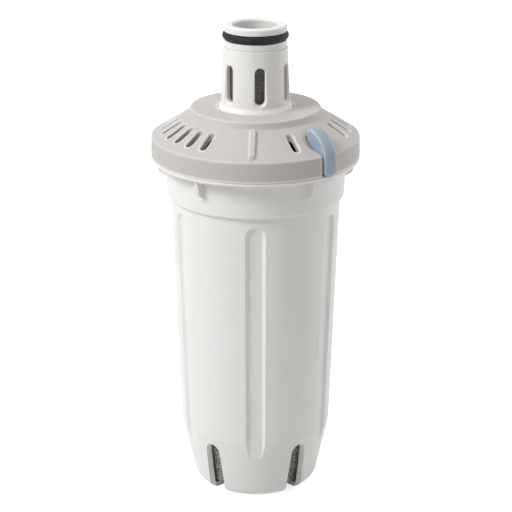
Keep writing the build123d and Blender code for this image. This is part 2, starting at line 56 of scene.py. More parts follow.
# Growth of the housing's radius at its foot for each unit of height
FOOT_SLOPE = 0.2161
# Rays that find the edges near a point, for the edge rounds and the painted edge highlights
ROUND_SAMPLES = 6
EDGE_HIGHLIGHT_SAMPLES = 8
log = logging.getLogger("cartridge")


class Body(Enum):
    """Bodies of the frame that the added pieces move with: all are fixed to the housing."""

    CARTRIDGE = "cartridge"


class Slot(Enum):
    """Material slots of the record that the added pieces stand for."""

    WHITE = "white_plastic"
    CLOTH = "black_mesh"
    FELT = "carbon_felt"


def linear(colour: str) -> tuple[float, float, float, float]:
    """Turn an sRGB hex colour to linear.

    Args:
        colour: Colour as six hex digits after a hash.

    Returns:
        Red, green, blue and alpha in linear light.
    """
    shares = [int(colour[i : i + 2], 16) / 255 for i in (1, 3, 5)]
    red, green, blue = [s / 12.92 if s <= 0.04045 else ((s + 0.055) / 1.055) ** 2.4 for s in shares]
    return red, green, blue, 1.0


def add_node(
    tree: bpy.types.NodeTree, kind: str, inputs: dict | None = None, **settings: object
) -> bpy.types.Node:
    """Add a node with its settings, values and incoming links.

    Args:
        tree: Node tree that gets the node.
        kind: Blender's name of the node type.
        inputs: Value or source socket of each input, by name or number.
        **settings: Attributes set on the node itself.

    Returns:
        The new node.
    """
    node = tree.nodes.new(kind)
    for name, value in settings.items():
        setattr(node, name, value)
    for key, value in (inputs or {}).items():
        if isinstance(value, bpy.types.NodeSocket):
            tree.links.new(value, node.inputs[key])
        else:
            node.inputs[key].default_value = value
    return node


@dataclass(frozen=True)
class Finish:
    """Finish that starts from one shader with values typical of the material.

    Sizes are in millimetres, and shares run from 0 to 1. The colours are sRGB, and the second
    one is where the surface drifts to. The edge round is the radius that the mould or the tool
    leaves on each edge.
    """

    name: str
    colour: str
    drift_colour: str
    roughness: float
    ior: float = 1.5
    edge_round: float = 0.25

    def begin(
        self,
    ) -> tuple[bpy.types.Material, bpy.types.NodeTree, bpy.types.Node, bpy.types.NodeSocket]:
        """Make the material with its shader.

        Returns:
            The material, its node tree, its shader and the socket with Object coordinates.
        """
        material = bpy.data.materials.new(self.name)
        material.use_nodes = True
        material.diffuse_color = linear(self.colour)
        tree = material.node_tree
        shader = tree.nodes["Principled BSDF"]
        shader.inputs["IOR"].default_value = self.ior
        return material, tree, shader, add_node(tree, "ShaderNodeTexCoord").outputs["Object"]

    def spread_colour(
        self,
        tree: bpy.types.NodeTree,
        shader: bpy.types.Node,
        amount: bpy.types.NodeSocket,
        over: str,
    ) -> None:
        """Spread a colour over the one that the shader has.

        Args:
            tree: The material's node tree.
            shader: Shader whose base colour is set.
            amount: Socket that is 1 where the new colour covers.
            over: The new colour, as sRGB hex.
        """
        fed = shader.inputs["Base Color"].links
        under = fed[0].from_socket if fed else linear(self.colour)
        shares = {0: amount, 6: under, 7: linear(over)}
        blend = add_node(tree, "ShaderNodeMix", shares, data_type="RGBA")
        tree.links.new(blend.outputs[2], shader.inputs["Base Color"])

    def vary_gloss(
        self,
        tree: bpy.types.NodeTree,
        shader: bpy.types.Node,
        pattern: bpy.types.NodeSocket,
        smoother: float,
        rougher: float,
    ) -> None:
        """Let the roughness follow a pattern.

        Args:
            tree: The material's node tree.
            shader: Shader whose roughness is set.
            pattern: Socket with the pattern, from 0 to 1.
            smoother: How far the roughness falls where the pattern is 0.
            rougher: How far the roughness rises where the pattern is 1.
        """
        low, high = self.roughness - smoother, self.roughness + rougher
        gloss = add_node(
            tree, "ShaderNodeMapRange", {"Value": pattern, "To Min": low, "To Max": high}
        )
        tree.links.new(gloss.outputs[0], shader.inputs["Roughness"])

    def relief(
        self,
        tree: bpy.types.NodeTree,
        shader: bpy.types.Node,
        height: bpy.types.NodeSocket,
        depth: float,
    ) -> None:
        """Give the surface a fine relief over its small moulded edge rounds.

        Args:
            tree: The material's node tree.
            shader: Shader whose normal is set.
            height: Socket with the relief's height, from 0 to 1.
            depth: Depth of the relief in millimetres.
        """
        rounds = add_node(
            tree, "ShaderNodeBevel", {"Radius": self.edge_round * MM}, samples=ROUND_SAMPLES
        )
        bump = add_node(
            tree,
            "ShaderNodeBump",
            {"Strength": 1.0, "Distance": depth * MM, "Height": height, "Normal": rounds.outputs[0]},
        )
        tree.links.new(bump.outputs[0], shader.inputs["Normal"])


@dataclass(frozen=True)
class MouldedPlastic(Finish):
    """Injection-moulded plastic with a spark-eroded grain.

    The grain breaks the highlight up, and a slow drift of tone shows where the melt flowed.
    Outer edges may get a painted highlight, a paler colour spread along them, and a thin natural
    wall lets a little light through. The speckle is how strongly the grain shows in the tone.
    """

    grain: float = 0.35
    grain_depth: float = 0.006
    speckle: float = 0.45
    drift: float = 14.0
    drift_share: float = 0.55
    polish: float = 0.05
    glow: float = 0.0
    glow_depth: float = 0.8
    glow_reach: tuple[float, float, float] = (1.0, 0.85, 0.7)
    # Width, opening and colour of the painted edge highlight
    highlight_width: float = 0.0
    highlight_opening: float = 0.72
    highlight_colour: str = "#ffffff"

    def paint_edge_highlights(self, tree: bpy.types.NodeTree, shader: bpy.types.Node) -> None:
        """Paint a highlight on the outer edges: a paler colour over the base colour.

        Rays into the solid soon leave it by an outer edge. Where the share that stays inside
        is down to the opening, the painted highlight is at its full strength.

        Args:
            tree: The material's node tree.
            shader: Shader whose base colour is already fed.
        """
        inward = add_node(
            tree,
            "ShaderNodeAmbientOcclusion",
            {"Distance": self.highlight_width * MM},
            samples=EDGE_HIGHLIGHT_SAMPLES,
            inside=True,
            only_local=True,
        )
        painted_highlight = add_node(
            tree,
            "ShaderNodeMapRange",
            {"Value": inward.outputs["AO"], "From Min": self.highlight_opening, "To Min": 1.0, "To Max": 0.0},
        )
        self.spread_colour(tree, shader, painted_highlight.outputs[0], self.highlight_colour)

    def material(self) -> bpy.types.Material:
        """Build the node tree.

        Returns:
            The finished material.
        """
        material, tree, shader, place = self.begin()
        flow = add_node(
            tree,
            "ShaderNodeTexNoise",
            {"Vector": place, "Scale": 1 / (self.drift * MM), "Detail": 3.0, "Roughness": 0.55},
        )
        grain = add_node(
            tree,
            "ShaderNodeTexNoise",
            {"Vector": place, "Scale": 1 / (self.grain * MM), "Detail": 2.0, "Roughness": 0.6},
        )
        centring = (1 - self.drift_share - self.speckle) / 2
        slow = add_node(
            tree,
            "ShaderNodeMath",
            {0: flow.outputs["Fac"], 1: self.drift_share, 2: centring},
            operation="MULTIPLY_ADD",
        )
        amount = add_node(
            tree,
            "ShaderNodeMath",
            {0: grain.outputs["Fac"], 1: self.speckle, 2: slow.outputs[0]},
            operation="MULTIPLY_ADD",
        )
        self.spread_colour(tree, shader, amount.outputs[0], self.drift_colour)
        # Painted highlight: a paler colour along the outer edges, standing in for light on the edge
        # rounds
        if self.highlight_width:
            self.paint_edge_highlights(tree, shader)
        self.vary_gloss(tree, shader, flow.outputs["Fac"], self.polish, self.polish)
        if self.glow:
            shader.inputs["Subsurface Weight"].default_value = self.glow
            shader.inputs["Subsurface Radius"].default_value = self.glow_reach
            shader.inputs["Subsurface Scale"].default_value = self.glow_depth * MM
        self.relief(tree, shader, grain.outputs["Fac"], self.grain_depth)
        return material


@dataclass(frozen=True)
class DrawnSteel(Finish):
    """Stainless wire and pin stock: die lines along the length give short streaked glints."""

    line: float = 0.08
    line_depth: float = 0.002
    line_squeeze: float = 0.15
    smoother: float = 0.08
    rougher: float = 0.12

    def material(self) -> bpy.types.Material:
        """Build the node tree.

        Returns:
            The finished material.
        """
        material, tree, shader, place = self.begin()
        drawn = (1.0, 1.0, self.line_squeeze)
        along = add_node(tree, "ShaderNodeMapping", {"Vector": place, "Scale": drawn})
        lines = add_node(
            tree,
            "ShaderNodeTexNoise",
            {"Vector": along.outputs[0], "Scale": 1 / (self.line * MM), "Detail": 2.0},
        )
        self.spread_colour(tree, shader, lines.outputs["Fac"], self.drift_colour)
        self.vary_gloss(tree, shader, lines.outputs["Fac"], self.smoother, self.rougher)
        shader.inputs["Metallic"].default_value = 1.0
        self.relief(tree, shader, lines.outputs["Fac"], self.line_depth)
        return material


@dataclass(frozen=True)
class MouldedRubber(Finish):
    """Compression-moulded nitrile: a soft broad highlight with faint bloom and dust."""

    bloom: float = 2.2
    pore: float = 0.12
    pore_depth: float = 0.003
    smoother: float = 0.06
    rougher: float = 0.08
    dust: float = 0.04
    shine: float = 0.3

    def material(self) -> bpy.types.Material:
        """Build the node tree.

        Returns:
            The finished material.
        """
        material, tree, shader, place = self.begin()
        bloom = add_node(
            tree,
            "ShaderNodeTexNoise",
            {"Vector": place, "Scale": 1 / (self.bloom * MM), "Detail": 4.0, "Roughness": 0.6},
        )
        pores = add_node(
            tree,
            "ShaderNodeTexNoise",
            {"Vector": place, "Scale": 1 / (self.pore * MM), "Detail": 1.0},
        )
        self.spread_colour(tree, shader, bloom.outputs["Fac"], self.drift_colour)
        self.vary_gloss(tree, shader, bloom.outputs["Fac"], self.smoother, self.rougher)
        shader.inputs["Sheen Weight"].default_value = self.dust
        shader.inputs["Specular IOR Level"].default_value = self.shine
        self.relief(tree, shader, pores.outputs["Fac"], self.pore_depth)
        return material


@dataclass(frozen=True)
class NeedledFelt(Finish):
    """Needled fibre felt: crossed fibres make a dry, mottled surface with no highlight.

    The tangle is how far the clumps push the fibres about. The two clump values are the parts
    of the noise that count as gap and as clump.
    """

    fibre: float = 0.16
    fibre_crest: float = 0.35
    fibre_share: float = 0.35
    tangle: float = 0.6
    clump: float = 0.7
    clump_low: float = 0.42
    clump_high: float = 0.58
    clump_share: float = 0.8
    relief_depth: float = 0.08
    shine: float = 0.25

    def material(self) -> bpy.types.Material:
        """Build the node tree.

        Returns:
            The finished material.
        """
        material, tree, shader, place = self.begin()
        clumps = add_node(
            tree,
            "ShaderNodeTexNoise",
            {"Vector": place, "Scale": 1 / (self.clump * MM), "Detail": 5.0, "Roughness": 0.7},
        )
        bent = add_node(
            tree,
            "ShaderNodeVectorMath",
            {0: clumps.outputs["Color"], "Scale": self.tangle * MM},
            operation="SCALE",
        )
        swept = add_node(
            tree, "ShaderNodeVectorMath", {0: place, 1: bent.outputs[0]}, operation="ADD"
        )
        fibres = add_node(
            tree,
            "ShaderNodeTexVoronoi",
            {"Vector": swept.outputs[0], "Scale": 1 / (self.fibre * MM)},
            feature="DISTANCE_TO_EDGE",
        )
        crest = add_node(
            tree, "ShaderNodeMapRange", {"Value": fibres.outputs[0], "From Max": self.fibre_crest}
        )
        tone = add_node(
            tree,
            "ShaderNodeMapRange",
            {
                "Value": clumps.outputs["Fac"],
                "From Min": self.clump_low,
                "From Max": self.clump_high,
                "To Max": self.clump_share,
            },
        )
        amount = add_node(
            tree,
            "ShaderNodeMath",
            {0: crest.outputs[0], 1: self.fibre_share, 2: tone.outputs[0]},
            operation="MULTIPLY_ADD",
        )
        self.spread_colour(tree, shader, amount.outputs[0], self.drift_colour)
        shader.inputs["Roughness"].default_value = self.roughness
        shader.inputs["Specular IOR Level"].default_value = self.shine
        self.relief(tree, shader, amount.outputs[0], self.relief_depth)
        return material


@dataclass(frozen=True)
class LooseBed(Finish):
    """Bed of loose granules or beads: each one has its own tone and a lit crown.

    The crown is as high as its share of the grain.
    """

    grain: float = 0.9
    roundness: float = 0.5
    crown_edge: float = 0.7
    crown_share: float = 0.35

    def material(self) -> bpy.types.Material:
        """Build the node tree.

        Returns:
            The finished material.
        """
        material, tree, shader, place = self.begin()
        cells = add_node(
            tree,
            "ShaderNodeTexVoronoi",
            {"Vector": place, "Scale": 1 / (self.grain * MM), "Randomness": 1 - self.roundness / 2},
        )
        crowns = add_node(
            tree,
            "ShaderNodeMapRange",
            {
                "Value": cells.outputs["Distance"],
                "From Max": self.crown_edge,
                "To Min": 1.0,
                "To Max": 0.0,
            },
            interpolation_type="SMOOTHSTEP",
        )
        tones = add_node(tree, "ShaderNodeSeparateColor", {0: cells.outputs["Color"]})
        self.spread_colour(tree, shader, tones.outputs[0], self.drift_colour)
        shader.inputs["Roughness"].default_value = self.roughness
        self.relief(tree, shader, crowns.outputs[0], self.crown_share * self.grain)
        return material


# Natural polypropylene, moulded satin: a bright cool white with soft broad highlights
WHITE_PLASTIC = MouldedPlastic(
    "moulded_white_polypropylene",
    "#f1f0ef",
    "#eae9e7",
    roughness=0.46,
    ior=1.49,
    edge_round=0.12,
    glow=0.12,
)
# Warm grey ABS from a spark-eroded tool: matt, with a grain that just shows, and a painted
# highlight of paler grey along its outer edges
GREY_PLASTIC = MouldedPlastic(
    "spark_eroded_grey_abs",
    "#cbc7c4",
    "#bab6b3",
    roughness=0.58,
    ior=1.52,
    edge_round=0.15,
    grain_depth=0.014,
    speckle=1.1,
    highlight_width=0.7,
    highlight_colour="#eae7e5",
)
# Blue-grey acetal: denser and smoother than the cap, with a painted highlight of pale blue
# along its edge rounds
LEVER_PLASTIC = MouldedPlastic(
    "moulded_blue_grey_acetal",
    "#9fb1c1",
    "#97a9b9",
    roughness=0.4,
    ior=1.48,
    edge_round=0.15,
    grain_depth=0.004,
    highlight_width=0.7,
    highlight_colour="#c9d6e2",
)
# Glass-filled black nylon: dull charcoal, with fibres that print through as a fine grain
FRAME_PLASTIC = MouldedPlastic(
    "glass_filled_black_nylon",
    "#302f30",
    "#3c3b3c",
    roughness=0.55,
    ior=1.53,
    edge_round=0.2,
    grain=0.5,
)
# Black polyester monofilament: a narrow pale line of light along each wire, drawn in charcoal
# so that the weave still shows in the shade under the cap
CLOTH_FILAMENT = MouldedPlastic(
    "black_polyester_monofilament",
    "#4b4947",
    "#6a6764",
    roughness=0.38,
    ior=1.57,
    edge_round=0.05,
    grain=0.2,
)
# Stainless spring steel, drawn bright
STEEL = DrawnSteel(
    "drawn_stainless_steel", "#c9c8c6", "#a9a8a6", roughness=0.28, edge_round=0.05
)
# Black nitrile rubber: deep grey with a soft highlight
RUBBER = MouldedRubber(
    "moulded_nitrile_rubber", "#222226", "#1b1b1e", roughness=0.62, ior=1.45, edge_round=0.05
)
# Activated carbon felt: dark mineral specks with paler dry fibre between them
CARBON_FELT = NeedledFelt(
    "activated_carbon_felt", "#33312f", "#c4c1be", roughness=0.95, ior=1.45, edge_round=0.1
)
# The same felt in a thinner, finer sheet
SLEEVE_FELT = NeedledFelt(
    "fine_activated_carbon_felt",
    "#45423f",
    "#92908c",
    roughness=0.95,
    ior=1.45,
    edge_round=0.1,
    clump=0.45,
)
# White polyester needle felt, hidden between the beds
WHITE_FELT = NeedledFelt(
    "white_polyester_felt", "#cfcdc8", "#f0efec", roughness=0.92, ior=1.45, edge_round=0.2
)
# Coconut-shell carbon granules: sharp, nearly black
CARBON_GRANULES = LooseBed(
    "coconut_carbon_granules", "#17171a", "#37373b", roughness=0.6, ior=1.6, edge_round=0.1
)
# Ion-exchange resin beads: round amber beads with a wet look
RESIN_BEADS = LooseBed(
    "ion_exchange_resin_beads",
    "#b98a4a",
    "#d3a765",
    roughness=0.25,
    edge_round=0.1,
    grain=0.7,
    roundness=0.9,
)


def dress(names: tuple[str, ...], material: bpy.types.Material) -> None:
    """Give CAD nodes their finish through their objects' material slots.

    Args:
        names: Names of the CAD nodes.
        material: Finish that they get.
    """
    for name in names:
        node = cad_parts[name]
        if not node.material_slots:
            node.data.materials.append(material)
        for place in node.material_slots:
            place.material = material
        log.info("dressed %s in %s", name, material.name)


def to_object(name: str, mesh: bmesh.types.BMesh) -> bpy.types.Object:
    """Turn a finished mesh into an object of the scene, at the origin.

    Args:
        name: Name of the object and its mesh.
        mesh: The finished mesh, which is freed.

    Returns:
        The new object.
    """
    data = bpy.data.meshes.new(name)
    mesh.to_mesh(data)
    mesh.free()
    piece = bpy.data.objects.new(name, data)
    bpy.context.scene.collection.objects.link(piece)
    return piece


def turned(name: str, outline: list[tuple[float, float]], step: float) -> bpy.types.Object:
    """Make a closed solid of revolution about Z with even, nearly square faces.

    Args:
        name: Name of the object.
        outline: Closed outline as radius and height, anticlockwise with the radius to the right.
        step: Largest length of a face's side.

    Returns:
        The new object, at the origin.
    """
    points = []
    for (r0, z0), (r1, z1) in zip(outline, outline[1:] + outline[:1]):
        if r0 == r1 == 0:
            points.append((r0, z0))
            continue
        count = max(1, math.ceil(math.hypot(r1 - r0, z1 - z0) / step))
        points += [(r0 + (r1 - r0) * i / count, z0 + (z1 - z0) * i / count) for i in range(count)]
    sides = math.ceil(2 * math.pi * max(r for r, _ in points) / step)
    mesh = bmesh.new()
    rings = []
    for radius, height in points:
        if radius == 0:
            rings.append([mesh.verts.new((0, 0, height))])
            continue
        turns = [2 * math.pi * k / sides for k in range(sides)]
        rings.append(
            [mesh.verts.new((radius * math.cos(t), radius * math.sin(t), height)) for t in turns]
        )
    for low, high in zip(rings, rings[1:] + rings[:1]):
        if len(low) == len(high) == 1:
            continue
        for k in range(sides):
            n = (k + 1) % sides
            corners = [low[k % len(low)], low[n % len(low)], high[n % len(high)], high[k % len(high)]]
            mesh.faces.new(list(dict.fromkeys(corners)))
    bmesh.ops.recalc_face_normals(mesh, faces=mesh.faces)
    return to_object(name, mesh)


def new_tree(name: str, inputs: dict[str, tuple[str, ...]]) -> bpy.types.NodeTree:
    """Start a geometry node tree with named inputs and one geometry output.

    Args:
        name: Name of the tree.
        inputs: Names of the inputs of each socket type, after the incoming geometry.

    Returns:
        The tree, with no nodes yet.
    """
    tree = bpy.data.node_groups.new(name, "GeometryNodeTree")
    for kind, labels in {"NodeSocketGeometry": ("Geometry",), **inputs}.items():
        for label in labels:
            tree.interface.new_socket(label, in_out="INPUT", socket_type=kind)
    tree.interface.new_socket("Geometry", in_out="OUTPUT", socket_type="NodeSocketGeometry")
    return tree


def grow(piece: bpy.types.Object, tree: bpy.types.NodeTree, values: dict[str, object]) -> None:
    """Run a geometry node tree on a piece and keep the result as its plain mesh.

    Args:
        piece: Object that the tree starts from.
        tree: The tree.
        values: Value of each named input.
    """
    modifier = piece.modifiers.new(tree.name, "NODES")
    modifier.node_group = tree
    for item in tree.interface.items_tree:
        if item.in_out == "INPUT" and item.name in values:
            modifier[item.identifier] = values[item.name]
    bpy.context.view_layer.update()
    evaluated = piece.evaluated_get(bpy.context.evaluated_depsgraph_get())
    made = bpy.data.meshes.new_from_object(evaluated)
    piece.modifiers.remove(modifier)
    old = piece.data
    piece.data = made
    bpy.data.meshes.remove(old)
    made.name = piece.name


def seat(piece: bpy.types.Object, body: Body, slot: Slot, *nodes: str) -> None:
    """Hand a finished piece to the frame.

    Args:
        piece: The finished piece.
        body: Body that it moves with.
        slot: Material slot that it stands under; not used.
        *nodes: CAD nodes that it stands for.
    """
    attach(piece, body.value)
    if nodes:
        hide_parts(*nodes)
    log.info("%s rides on %s with %d faces", piece.name, body.value, len(piece.data.polygons))


@dataclass
class SpeckledFelt:
    """Rough felt skin grown over a plain form: raised grain and loose carbon specks.

    The grain's level is the part of its height that lies below the plain form. The density of
    the specks is per square metre, and they are flat flakes of mixed sizes.
    """

    grain: float = 0.55 * MM
    grain_height: float = 0.16 * MM
    grain_level: float = 0.8
    speck: float = 0.34 * MM
    speck_smallest: tuple[float, float, float] = (0.4, 0.4, 0.3)
    speck_largest: tuple[float, float, float] = (1.3, 1.0, 0.8)
    speck_turn: float = 6.283
    per_area: float = 1.25 / MM**2
    seed: int = 7

    def tree(self) -> bpy.types.NodeTree:
        """Build the tree that roughens a form and scatters specks on it.

        Returns:
            The geometry node tree.
        """
        tree = new_tree(
            "speckled_felt",
            {
                "NodeSocketFloat": ("Grain Size", "Grain Height", "Speck Size", "Specks Per Area"),
                "NodeSocketInt": ("Seed",),
                "NodeSocketMaterial": ("Finish",),
            },
        )
        given = add_node(tree, "NodeGroupInput").outputs
        place = add_node(tree, "GeometryNodeInputPosition").outputs[0]
        outward = add_node(tree, "GeometryNodeInputNormal").outputs[0]
        scale = add_node(
            tree, "ShaderNodeMath", {0: 1.0, 1: given["Grain Size"]}, operation="DIVIDE"
        )
        noise = add_node(
            tree,
            "ShaderNodeTexNoise",
            {"Vector": place, "Scale": scale.outputs[0], "Detail": 3.0, "Roughness": 0.65},
        )
        lift = add_node(
            tree,
            "ShaderNodeMath",
            {0: noise.outputs["Fac"], 1: self.grain_level},
            operation="SUBTRACT",
        )
        height = add_node(
            tree,
            "ShaderNodeMath",
            {0: lift.outputs[0], 1: given["Grain Height"]},
            operation="MULTIPLY",
        )
        offset = add_node(
            tree,
            "ShaderNodeVectorMath",
            {0: outward, "Scale": height.outputs[0]},
            operation="SCALE",
        )
        rough = add_node(
            tree,
            "GeometryNodeSetPosition",
            {"Geometry": given["Geometry"], "Offset": offset.outputs[0]},
        )
        smooth = add_node(tree, "GeometryNodeSetShadeSmooth", {"Geometry": rough.outputs[0]})
        points = add_node(
            tree,
            "GeometryNodeDistributePointsOnFaces",
            {"Mesh": rough.outputs[0], "Density": given["Specks Per Area"], "Seed": given["Seed"]},
        )
        half = add_node(
            tree, "ShaderNodeMath", {0: given["Speck Size"], 1: 0.5}, operation="MULTIPLY"
        )
        grit = add_node(
            tree, "GeometryNodeMeshIcoSphere", {"Radius": half.outputs[0], "Subdivisions": 1}
        )
        turn = add_node(
            tree,
            "FunctionNodeRandomValue",
            {0: (0.0,) * 3, 1: (self.speck_turn,) * 3, "Seed": given["Seed"]},
            data_type="FLOAT_VECTOR",
        )
        size = add_node(
            tree,
            "FunctionNodeRandomValue",
            {0: self.speck_smallest, 1: self.speck_largest, "Seed": given["Seed"]},
            data_type="FLOAT_VECTOR",
        )
        specks = add_node(
            tree,
            "GeometryNodeInstanceOnPoints",
            {
                "Points": points.outputs["Points"],
                "Instance": grit.outputs["Mesh"],
                "Rotation": turn.outputs[0],
                "Scale": size.outputs[0],
            },
        )
        joined = add_node(tree, "GeometryNodeJoinGeometry", {0: smooth.outputs[0]})
        tree.links.new(specks.outputs[0], joined.inputs[0])
        plain = add_node(tree, "GeometryNodeRealizeInstances", {0: joined.outputs[0]})
        finished = add_node(
            tree,
            "GeometryNodeSetMaterial",
            {"Geometry": plain.outputs[0], "Material": given["Finish"]},
        )
        add_node(tree, "NodeGroupOutput", {0: finished.outputs[0]})
        return tree

    def cover(
        self, piece: bpy.types.Object, tree: bpy.types.NodeTree, finish: bpy.types.Material
    ) -> None:
        """Grow the skin over a piece.

        Args:
            piece: Plain form of the felt.
            tree: The tree from tree().
            finish: Material of felt and specks.
        """
        grow(
            piece,
            tree,
            {
                "Grain Size": self.grain,
                "Grain Height": self.grain_height,
                "Speck Size": self.speck,
                "Specks Per Area": self.per_area,
                "Seed": self.seed,
                "Finish": finish,
            },
        )


@dataclass
class FilterMedia:
    """Felts and beds inside the housing, two of them seen through the openings.

    The play keeps a felt's raised grain inside its CAD solid. The cup leans as the foot does.
    """

    sleeve_wall: float = 1.0 * MM
    sleeve_step: float = 0.28 * MM
    cup_wall: float = 2.4 * MM
    cup_slope: float = FOOT_SLOPE
    cup_step: float = 0.45 * MM
    cup_edge_inset: float = 0.2 * MM
    cup_edge_rise: float = 0.35 * MM
    play: float = 0.12 * MM

    def build(self) -> None:
        """Make the two felts that show and dress the beds that don't."""
        skin = SpeckledFelt()
        tree = skin.tree()
        self.make_sleeve(skin, tree, SLEEVE_FELT.material())
        self.make_cup(skin, tree, CARBON_FELT.material())
        dress(("top_felt", "separator_felt", "grid_felt"), WHITE_FELT.material())
        dress(("carbon_bed",), CARBON_GRANULES.material())
        dress(("resin_bed",), RESIN_BEADS.material())
        bpy.data.node_groups.remove(tree)

    def make_sleeve(
        self, skin: SpeckledFelt, tree: bpy.types.NodeTree, felt: bpy.types.Material
    ) -> None:
        """Make the carbon felt sleeve behind the neck's slots.

        Args:
            skin: Felt skin.
            tree: Its geometry node tree.
            felt: Its material.
        """
        low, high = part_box("neck_felt")
        outer = high.x - self.play
        inner = high.x - self.sleeve_wall + self.play
        outline = [(inner, low.z), (outer, low.z), (outer, high.z), (inner, high.z)]
        sleeve = turned("neck_felt_sleeve", outline, self.sleeve_step)
        skin.cover(sleeve, tree, felt)
        seat(sleeve, Body.CARTRIDGE, Slot.FELT, "neck_felt")

    def make_cup(
        self, skin: SpeckledFelt, tree: bpy.types.NodeTree, felt: bpy.types.Material
    ) -> None:
        """Make the carbon felt cup behind the outlet notches.

        Args:
            skin: Felt skin.
            tree: Its geometry node tree.
            felt: Its material.
        """
        low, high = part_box("outlet_cup")
        top = high.x - self.play
        foot = top - (high.z - low.z) * self.cup_slope
        floor = low.z + self.cup_wall
        outline = [
            (0.0, low.z + self.play),
            (foot - self.cup_edge_inset, low.z + self.play),
            (foot, low.z + self.cup_edge_rise),
            (top, high.z - self.play),
            (top - self.cup_wall, high.z - self.play),
            (foot - self.cup_wall, floor),
            (0.0, floor),
        ]
        cup = turned("outlet_felt_cup", outline, self.cup_step)
        skin.cover(cup, tree, felt)
        seat(cup, Body.CARTRIDGE, Slot.FELT, "outlet_cup")


